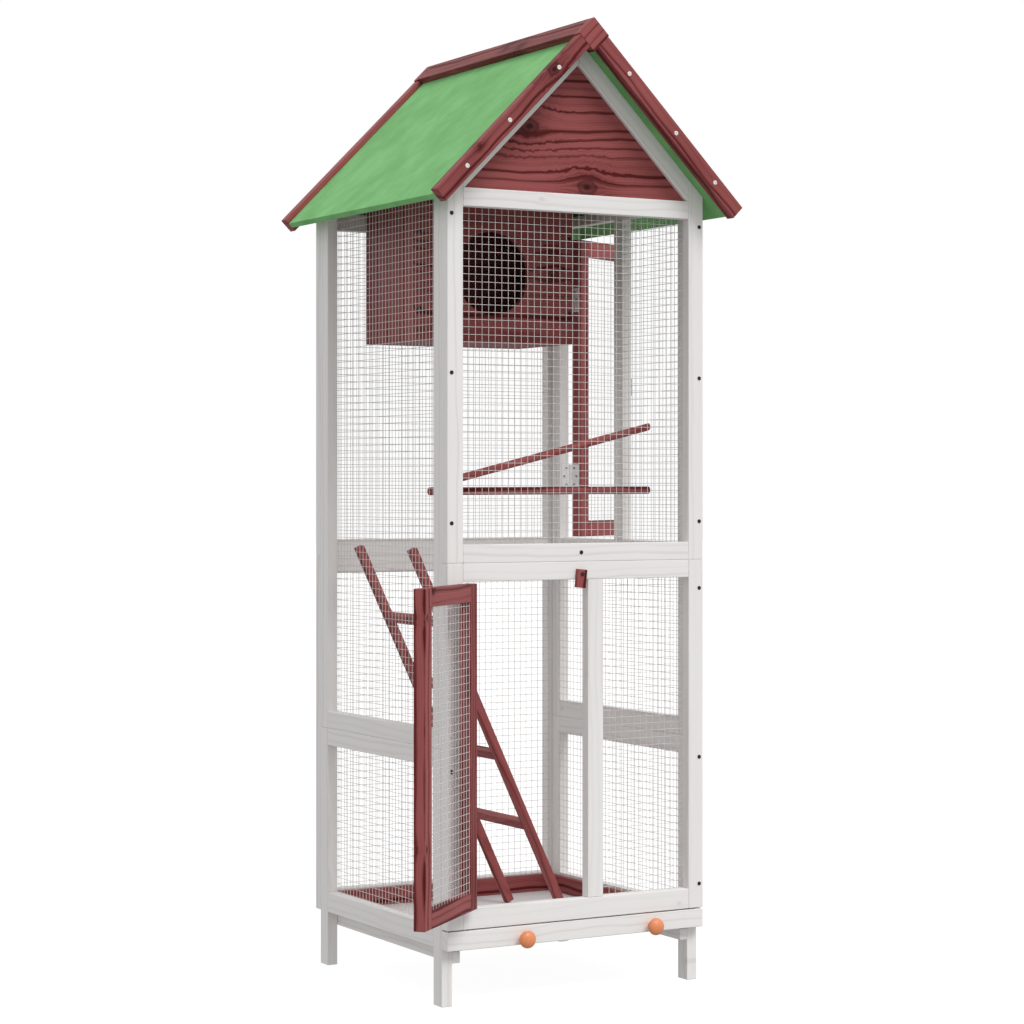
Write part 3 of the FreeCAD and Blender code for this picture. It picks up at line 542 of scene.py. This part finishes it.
def apply_modifier(piece, kind, **settings):
    """Adds a modifier with its settings and applies it."""
    modifier = piece.modifiers.new(kind.title(), kind)
    for key, setting in settings.items():
        setattr(modifier, key, setting)
    pick(piece)
    bpy.ops.object.modifier_apply(modifier=modifier.name)


def round_edges(piece, radius, steps=2):
    """Rounds every sharp edge and smooths the facets."""
    apply_modifier(piece, "BEVEL", width=radius, segments=steps, limit_method="ANGLE",
                   angle_limit=SHARP_ANGLE, harden_normals=True)
    bpy.ops.object.shade_smooth_by_angle(angle=SMOOTH_ANGLE)
    apply_modifier(piece, "WEIGHTED_NORMAL", keep_sharp=True)


def dress(piece, node, material):
    """Gives a finished piece its material, body and slot, in place of its node."""
    piece.data.materials.clear()
    piece.data.materials.append(material)
    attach(piece, BODY_OF[node])
    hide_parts(node)
    return piece


def positive(axis):
    """An axis turned so that its longest part points the positive way."""
    return axis * np.sign(axis[np.argmax(np.abs(axis))])


def board_axes(mesh, points, numbers, board):
    """A board's own axes: along its longest edge, then across and through its widest face."""
    ends = np.array([edge.vertices[:] for edge in mesh.edges if numbers[edge.vertices[0]] == board])
    edges = points[ends[:, 1]] - points[ends[:, 0]]
    longest = edges[np.argmax(np.linalg.norm(edges, axis=1))]
    along = positive(longest / np.linalg.norm(longest))
    faces = [face for face in mesh.polygons
             if numbers[face.vertices[0]] == board and abs(along @ np.array(face.normal)) < 0.1]
    widest = np.array(max(faces, key=lambda face: face.area).normal)
    across = np.cross(widest, along)
    across = positive(across / np.linalg.norm(across))
    return np.array([along, across, np.cross(along, across)])


def write_vectors(mesh, name, values):
    """Stores one vector per point under a name that materials read."""
    layer = mesh.attributes.new(name, "FLOAT_VECTOR", "POINT")
    layer.data.foreach_set("vector", np.ascontiguousarray(values, np.float32).ravel())


def chosen_knots(node):
    """The node's knots that are listed, in metres."""
    low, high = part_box(node)
    return [(np.array([low[i] + share[i] * (high[i] - low[i]) for i in range(3)]), radius)
            for share, radius in KNOTS.get(node, [])]


def lay_grain(piece, node):
    """Stores where each point lies on its own board, the board's random numbers and its two knots."""
    mesh = piece.data
    points = points_of(mesh)
    numbers, count = solids_of(mesh)
    layers = {name: np.zeros_like(points) for name in ("grain", "board", "knot_1", "knot_2")}
    chosen = chosen_knots(node)
    tones = TONES.get(node, ())
    for board in range(count):
        chance = random.Random(f"{node} {board}")
        members = numbers == board
        axes = board_axes(mesh, points, numbers, board)
        local = points[members] @ axes.T
        middle = (local.min(axis=0) + local.max(axis=0)) / 2
        half = local.max(axis=0) - middle
        layers["grain"][members] = local - middle
        seed, pith, shift = chance.random(), chance.random(), chance.uniform(-TONE_SPREAD, TONE_SPREAD)
        tone = tones[board] if board < len(tones) else MIDDLE_TONE + shift
        layers["board"][members] = [seed, pith, tone]
        knots = []
        for spot, radius in chosen:
            offset = axes @ spot - middle
            if (np.abs(offset) < half + radius).all():
                knots.append((offset[0], offset[1], radius))
        while len(knots) < 2:
            side = chance.uniform(-1, 1) if chance.random() < KNOT_CHANCE else NO_KNOT
            knots.append((chance.uniform(-half[0], half[0]), side * half[1], chance.uniform(0.0025, 0.0045)))
        for index in (0, 1):
            layers[f"knot_{index + 1}"][members] = knots[index]
    for name, values in layers.items():
        write_vectors(mesh, name, values)


def dress_timber(node, material, settings):
    """A timber node's boards with rounded edges and a grain of their own."""
    piece = clean_copy(node, node + "_timber")
    round_edges(piece, settings.edge_radius, settings.edge_steps)
    lay_grain(piece, node)
    return dress(piece, node, material)


def shut_turn(node):
    """The pivot of the door that a node belongs to, and the angle that shuts it; none for a wall."""
    joint_name, limit = DOOR_JOINTS.get(BODY_OF[node], (None, None))
    if joint_name is None:
        return Vector(), 0.0
    joint = JOINTS[joint_name]
    return Vector(joint["pos_m"]), math.radians(joint["range_deg"][limit])


def turn_about(pivot, angle):
    """The matrix of a turn about an upright axis."""
    return Matrix.Translation(pivot) @ Matrix.Rotation(angle, 4, "Z") @ Matrix.Translation(-pivot)


def shut_boxes(node):
    """The lowest and highest corner of each of a node's solids, with its door shut."""
    pivot, angle = shut_turn(node)
    copy = clean_copy(node, node + "_measure")
    copy.data.transform(turn_about(pivot, angle))
    points = points_of(copy.data)
    numbers, count = solids_of(copy.data)
    boxes = [(Vector(points[numbers == solid].min(axis=0)), Vector(points[numbers == solid].max(axis=0)))
             for solid in range(count)]
    bpy.data.meshes.remove(copy.data)
    return boxes


# Wire mesh

def wire_row(start, direction, length, step, count, settings):
    """Straight wires side by side: one round wire, repeated by a step."""
    middle = start + direction * (length / 2)
    turn = UP.rotation_difference(direction).to_euler()
    bpy.ops.mesh.primitive_cylinder_add(vertices=settings.sides, radius=settings.diameter / 2, depth=length,
                                        location=middle, rotation=turn)
    wire = bpy.context.object
    bpy.ops.object.transform_apply(location=True, rotation=True, scale=True)
    apply_modifier(wire, "ARRAY", use_relative_offset=False, use_constant_offset=True,
                   constant_offset_displace=step, count=count)
    return wire


def wire_rows(low, high, settings):
    """Both layers of a mesh panel: uprights, with level wires welded behind them."""
    size = high - low
    through = 0 if size.x < size.y else 1
    side = 1 - through
    radius = settings.diameter / 2
    inward = -1 if (low[through] + high[through]) > 0 else 1
    face = low[through] if inward > 0 else high[through]
    rows = []
    for run, across, layer in ((2, side, 0), (side, 2, 1)):
        count = int((size[across] - settings.diameter) / settings.pitch) + 1
        start = low.copy()
        start[across] += (size[across] - (count - 1) * settings.pitch) / 2
        start[through] = face + inward * (radius + layer * settings.diameter * (1 - settings.weld))
        direction = Vector([float(axis == run) for axis in range(3)])
        step = Vector([settings.pitch if axis == across else 0.0 for axis in range(3)])
        rows.append(wire_row(start, direction, size[run], step, count, settings))
    return rows


def weave_panel(node, material, settings):
    """The real mesh of a node, made with its door shut and then turned back to where it rests."""
    rows = [row for low, high in shut_boxes(node) for row in wire_rows(low, high, settings)]
    pick(*rows)
    bpy.ops.object.join()
    panel = bpy.context.object
    panel.name = node + "_wires"
    pivot, angle = shut_turn(node)
    panel.data.transform(turn_about(pivot, -angle))
    bpy.ops.object.shade_smooth_by_angle(angle=SMOOTH_ANGLE)
    return dress(panel, node, material)


# Screws and hinges

def cross_head(radius, height, recess_share):
    """A low round screw head with a cross recess, on the origin and facing up."""
    bpy.ops.mesh.primitive_cylinder_add(vertices=HEAD_SIDES, radius=radius, depth=height,
                                        location=(0, 0, height / 2))
    head = bpy.context.object
    bpy.ops.object.transform_apply(location=True)
    bpy.ops.object.mode_set(mode="EDIT")
    bpy.ops.mesh.select_all(action="DESELECT")
    bpy.ops.object.mode_set(mode="OBJECT")
    for face in head.data.polygons:
        face.select = face.normal.z > 0.9
    bpy.ops.object.mode_set(mode="EDIT")
    bpy.ops.mesh.bevel(offset=height * 0.6, segments=3, affect="EDGES")
    bpy.ops.object.mode_set(mode="OBJECT")
    slot_length = 2 * radius * recess_share
    slot_width = slot_length * 0.28
    cutters = []
    for sides in ((slot_length, slot_width), (slot_width, slot_length)):
        bpy.ops.mesh.primitive_cube_add(size=METRE, location=(0, 0, height), scale=(*sides, height))
        cutters.append(bpy.context.object)
        bpy.ops.object.transform_apply(location=True, scale=True)
    for cutter in cutters:
        apply_modifier(head, "BOOLEAN", operation="DIFFERENCE", object=cutter, solver="EXACT")
    for cutter in cutters:
        bpy.data.meshes.remove(cutter.data)
    return head


def seat_heads(name, model, seats):
    """Copies a screw head to each seat, given as its place and the way it faces, as one piece."""
    heads = []
    for place, facing in seats:
        head = bpy.data.objects.new(name, model.data.copy())
        bpy.context.scene.collection.objects.link(head)
        turn = UP.rotation_difference(facing).to_matrix().to_4x4()
        head.data.transform(Matrix.Translation(place) @ turn)
        heads.append(head)
    pick(*heads)
    bpy.ops.object.join()
    bpy.ops.object.shade_smooth_by_angle(angle=SHARP_ANGLE)
    return bpy.context.object


def head_seats(node, facing_of):
    """Where each drawn head of a node stands, and the way it faces, from the heads' boxes."""
    seats = []
    for low, high in shut_boxes(node):
        facing = facing_of((low + high) / 2)
        place = (low + high) / 2
        place.y = high.y if facing.y < 0 else low.y
        seats.append((place, facing))
    return seats


def dress_heads(node, material, settings, facing_of):
    """A node of round heads, each remade with its cross recess."""
    low, high = shut_boxes(node)[0]
    model = cross_head((high.x - low.x) / 2, high.y - low.y, settings.recess_share)
    piece = seat_heads(node + "_heads", model, head_seats(node, facing_of))
    bpy.data.meshes.remove(model.data)
    return dress(piece, node, material)


# Each hinge screw's place as shares of its leaf beyond the knuckle, out from the pivot and up

HINGE_SCREW_SHARES = ((0.35, 0.16), (0.65, 0.5), (0.35, 0.84))
KNUCKLE_SHARE = 0.16


def leaf_facing(node, door_body):
    """The way a leaf's screws face: with the door shut, its leaf and the frame's one face each other."""
    through = LEAF_THROUGH[door_body]
    low, high = shut_boxes(door_body + "_rails")[0]
    pivot = JOINTS[DOOR_JOINTS[door_body][0]]["pos_m"]
    away = 1.0 if (low[through] + high[through]) / 2 > pivot[through] else -1.0
    facing = Vector()
    facing[through] = -away if BODY_OF[node] == door_body else away
    return facing


def hinge_screw_seats(low, high, pivot, facing, settings):
    """Where a leaf's screws stand and the way they face, from its box and its pivot."""
    out = 1 if facing.x else 0
    far = max(low[out], high[out], key=lambda end: abs(end - pivot[out]))
    near = pivot[out] + (far - pivot[out]) * KNUCKLE_SHARE
    seats = []
    for out_share, up_share in HINGE_SCREW_SHARES:
        place = pivot - facing * settings.head_sink
        place[out] = near + (far - near) * out_share
        place.z = low.z + (high.z - low.z) * up_share
        seats.append((place, facing))
    return seats


def dress_hinge(node, door_body, plate, screw, settings):
    """Hinge leaves with rolled edges, and the dark screws that hold them."""
    piece = clean_copy(node, node + "_zinc")
    round_edges(piece, settings.leaf_radius, 1)
    dress(piece, node, plate)
    pivot = Vector(JOINTS[DOOR_JOINTS[door_body][0]]["pos_m"])
    seats = []
    for low, high in shut_boxes(node):
        seats += hinge_screw_seats(low, high, pivot, leaf_facing(node, door_body), settings)
    model = cross_head(settings.head_radius, settings.head_height, settings.recess_share)
    heads = seat_heads(node + "_screws", model, seats)
    bpy.data.meshes.remove(model.data)
    pivot, angle = shut_turn(node)
    heads.data.transform(turn_about(pivot, -angle))
    heads.data.materials.append(screw)
    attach(heads, BODY_OF[node])


# Light

def light_round(studio, settings):
    """Light from all round, stronger above than below, before a white backdrop."""
    light = Recipe(studio)
    height = light.split(light.node("ShaderNodeTexCoord", {}, {}, "Generated"))[2]
    strength = light.node("ShaderNodeMapRange", {"interpolation_type": "SMOOTHSTEP"},
                          {"Value": height, "From Min": -0.3, "From Max": 0.3,
                           "To Min": settings.ground, "To Max": settings.sky})
    light.finish(Color=(1, 1, 1), Strength=strength)
    around = Shade(light, light.surface.outputs["Background"])
    backdrop = light.node("ShaderNodeBackground", {}, {"Color": (1, 1, 1)}, "Background")
    seen = light.node("ShaderNodeLightPath", {}, {}, "Is Camera Ray")
    choice = light.node("ShaderNodeMixShader", {}, [seen, around, backdrop])
    output = next(item for item in light.tree.nodes if item.type == "OUTPUT_WORLD")
    light.feed(output.inputs["Surface"], choice)


# Operators

class AVIARY_OT_wall_timber(Operator):
    """Stiles, rails and legs of the walls, white-washed"""
    bl_idname = "aviary.wall_timber"
    bl_label = "Wall Timber"

    def execute(self, context):
        settings = context.scene.aviary.timber
        material = white_timber(settings)
        for node in WHITE_TIMBER:
            dress_timber(node, material, settings)
        return {"FINISHED"}


def stain_timber(context, nodes):
    """Dresses these nodes in the red-brown stain."""
    settings = context.scene.aviary.timber
    for node in nodes:
        dress_timber(node, red_timber(settings), settings)
    return {"FINISHED"}


class AVIARY_OT_roof_trim(Operator):
    """Gable boards, barge boards and ridge caps, stained red-brown"""
    bl_idname = "aviary.roof_trim"
    bl_label = "Roof Trim"

    def execute(self, context):
        return stain_timber(context, ("gable_boards", "barge_boards", "ridge_caps", "ridge_end_blocks"))


class AVIARY_OT_doors(Operator):
    """Frames of both doors and the buttons that hold them shut, stained red-brown"""
    bl_idname = "aviary.doors"
    bl_label = "Doors"

    def execute(self, context):
        return stain_timber(context, ("front_door_stiles", "front_door_rails", "side_door_stiles",
                                      "side_door_rails", "front_latch", "side_latch"))


class AVIARY_OT_nest_box(Operator):
    """Boards of the nest box, stained red-brown"""
    bl_idname = "aviary.nest_box"
    bl_label = "Nest Box"

    def execute(self, context):
        return stain_timber(context, ("nest_box_front", "nest_box_sides", "nest_box_floor_and_top",
                                      "nest_box_back"))


class AVIARY_OT_ladder_and_perches(Operator):
    """Ladder, perches and skirting, stained red-brown"""
    bl_idname = "aviary.ladder_and_perches"
    bl_label = "Ladder and Perches"

    def execute(self, context):
        return stain_timber(context, ("ladder_stringers", "ladder_rungs", "perches", "skirting"))


class AVIARY_OT_roof(Operator):
    """Felt folded over the roof boards"""
    bl_idname = "aviary.roof"
    bl_label = "Felt Roof"

    def execute(self, context):
        settings = context.scene.aviary.roof
        felt = clean_copy("roof_felts", "roof_felts_folded")
        round_edges(felt, settings.edge_radius)
        dress(felt, "roof_felts", roofing_felt(settings))
        boards = frame["nodes"]["roof_boards"]
        boards.data.materials.clear()
        boards.data.materials.append(roof_boarding())
        return {"FINISHED"}


class AVIARY_OT_wire_mesh(Operator):
    """Welded mesh in every wall and door"""
    bl_idname = "aviary.wire_mesh"
    bl_label = "Wire Mesh"

    def execute(self, context):
        settings = context.scene.aviary.wire
        material = zinc_metal("galvanised_wire", settings.colour, settings.shine)
        for node in WALL_MESH + ("front_door_mesh", "side_door_mesh"):
            weave_panel(node, material, settings)
        return {"FINISHED"}


class AVIARY_OT_drawer(Operator):
    """Drawer front, tray, runners and knobs"""
    bl_idname = "aviary.drawer"
    bl_label = "Drawer"

    def execute(self, context):
        timber = context.scene.aviary.timber
        material = white_timber(timber)
        for node in ("drawer_front", "drawer_runners"):
            dress_timber(node, material, timber)
        tray = clean_copy("drawer_tray", "drawer_tray_sheet")
        round_edges(tray, timber.edge_radius / 2)
        dress(tray, "drawer_tray", tray_board(timber))
        knobs = clean_copy("drawer_knobs", "drawer_knobs_turned")
        round_edges(knobs, timber.edge_radius / 3)
        dress(knobs, "drawer_knobs", knob_stain(context.scene.aviary.fittings))
        return {"FINISHED"}


class AVIARY_OT_fittings(Operator):
    """Hinges and screws"""
    bl_idname = "aviary.fittings"
    bl_label = "Hinges and Screws"

    def execute(self, context):
        settings = context.scene.aviary.fittings
        zinc = zinc_metal("zinc_plate", settings.zinc, settings.zinc_shine)
        black = black_metal(settings)
        forward = Vector((0, -1, 0))
        dress_heads("frame_screws", black, settings, lambda place: forward)
        dress_heads("barge_screws", zinc, settings, lambda place: forward if place.y < 0 else -forward)
        for node, material in (("nest_box_screws", zinc), ("latch_screws", black)):
            piece = clean_copy(node, node + "_turned")
            round_edges(piece, settings.screw_edge, 1)
            dress(piece, node, material)
        for door_body in DOOR_JOINTS:
            dress_hinge(door_body + "_hinge_leaves", door_body, zinc, black, settings)
            frame_node = door_body.replace("door", "hinge_frame_leaves")
            dress_hinge(frame_node, door_body, zinc, black, settings)
        return {"FINISHED"}


class AVIARY_OT_stage(Operator):
    """Pale floor, soft light and the camera"""
    bl_idname = "aviary.stage"
    bl_label = "Stage"

    def execute(self, context):
        settings = context.scene.aviary.stage
        bpy.ops.mesh.primitive_plane_add(size=settings.floor_size)
        floor = context.object
        floor.name = "floor"
        paint = new_material("pale_floor")
        floor.data.materials.append(paint.finish(Base_Color=settings.floor, Roughness=0.9,
                                                 Emission_Color=(1, 1, 1),
                                                 Emission_Strength=settings.floor_glow))
        floor.visible_diffuse = False
        floor.visible_glossy = False
        studio = bpy.data.worlds.new("studio")
        context.scene.world = studio
        light_round(studio, settings)
        bpy.ops.object.light_add(type="SUN", rotation=(RIGHT_ANGLE - settings.key_height, 0,
                                                       settings.key_turn))
        key = context.object
        key.name = "key_light"
        key.data.energy = settings.key
        key.data.angle = settings.key_spread
        bpy.ops.object.camera_add(location=settings.camera_place,
                                  rotation=(RIGHT_ANGLE, 0, -settings.camera_turn))
        camera = context.object
        camera.data.lens = settings.lens
        camera.data.sensor_width = settings.sensor
        camera.data.shift_y = settings.shift
        camera.data.clip_end = 100
        context.scene.camera = camera
        context.scene.view_settings.view_transform = "Standard"
        return {"FINISHED"}


OPERATORS = (AVIARY_OT_wall_timber, AVIARY_OT_roof_trim, AVIARY_OT_doors, AVIARY_OT_nest_box,
             AVIARY_OT_ladder_and_perches, AVIARY_OT_roof, AVIARY_OT_wire_mesh, AVIARY_OT_drawer,
             AVIARY_OT_fittings, AVIARY_OT_stage)


class AVIARY_PT_pieces(Panel):
    """The aviary's pieces"""
    bl_idname = "AVIARY_PT_pieces"
    bl_label = "Aviary"
    bl_space_type = "VIEW_3D"
    bl_region_type = "UI"
    bl_category = "Aviary"

    def draw(self, context):
        for operator in OPERATORS:
            self.layout.operator(operator.bl_idname)


CLASSES = (TimberSettings, WireSettings, RoofSettings, FittingSettings, StageSettings, AviarySettings,
           *OPERATORS, AVIARY_PT_pieces)


def register():
    for item in CLASSES:
        bpy.utils.register_class(item)
    bpy.types.Scene.aviary = PointerProperty(type=AviarySettings)


def unregister():
    del bpy.types.Scene.aviary
    for item in reversed(CLASSES):
        bpy.utils.unregister_class(item)


def main():
    register()
    for operator in OPERATORS:
        group, name = operator.bl_idname.split(".")
        getattr(getattr(bpy.ops, group), name)()


if __name__ == "__main__":
    main()
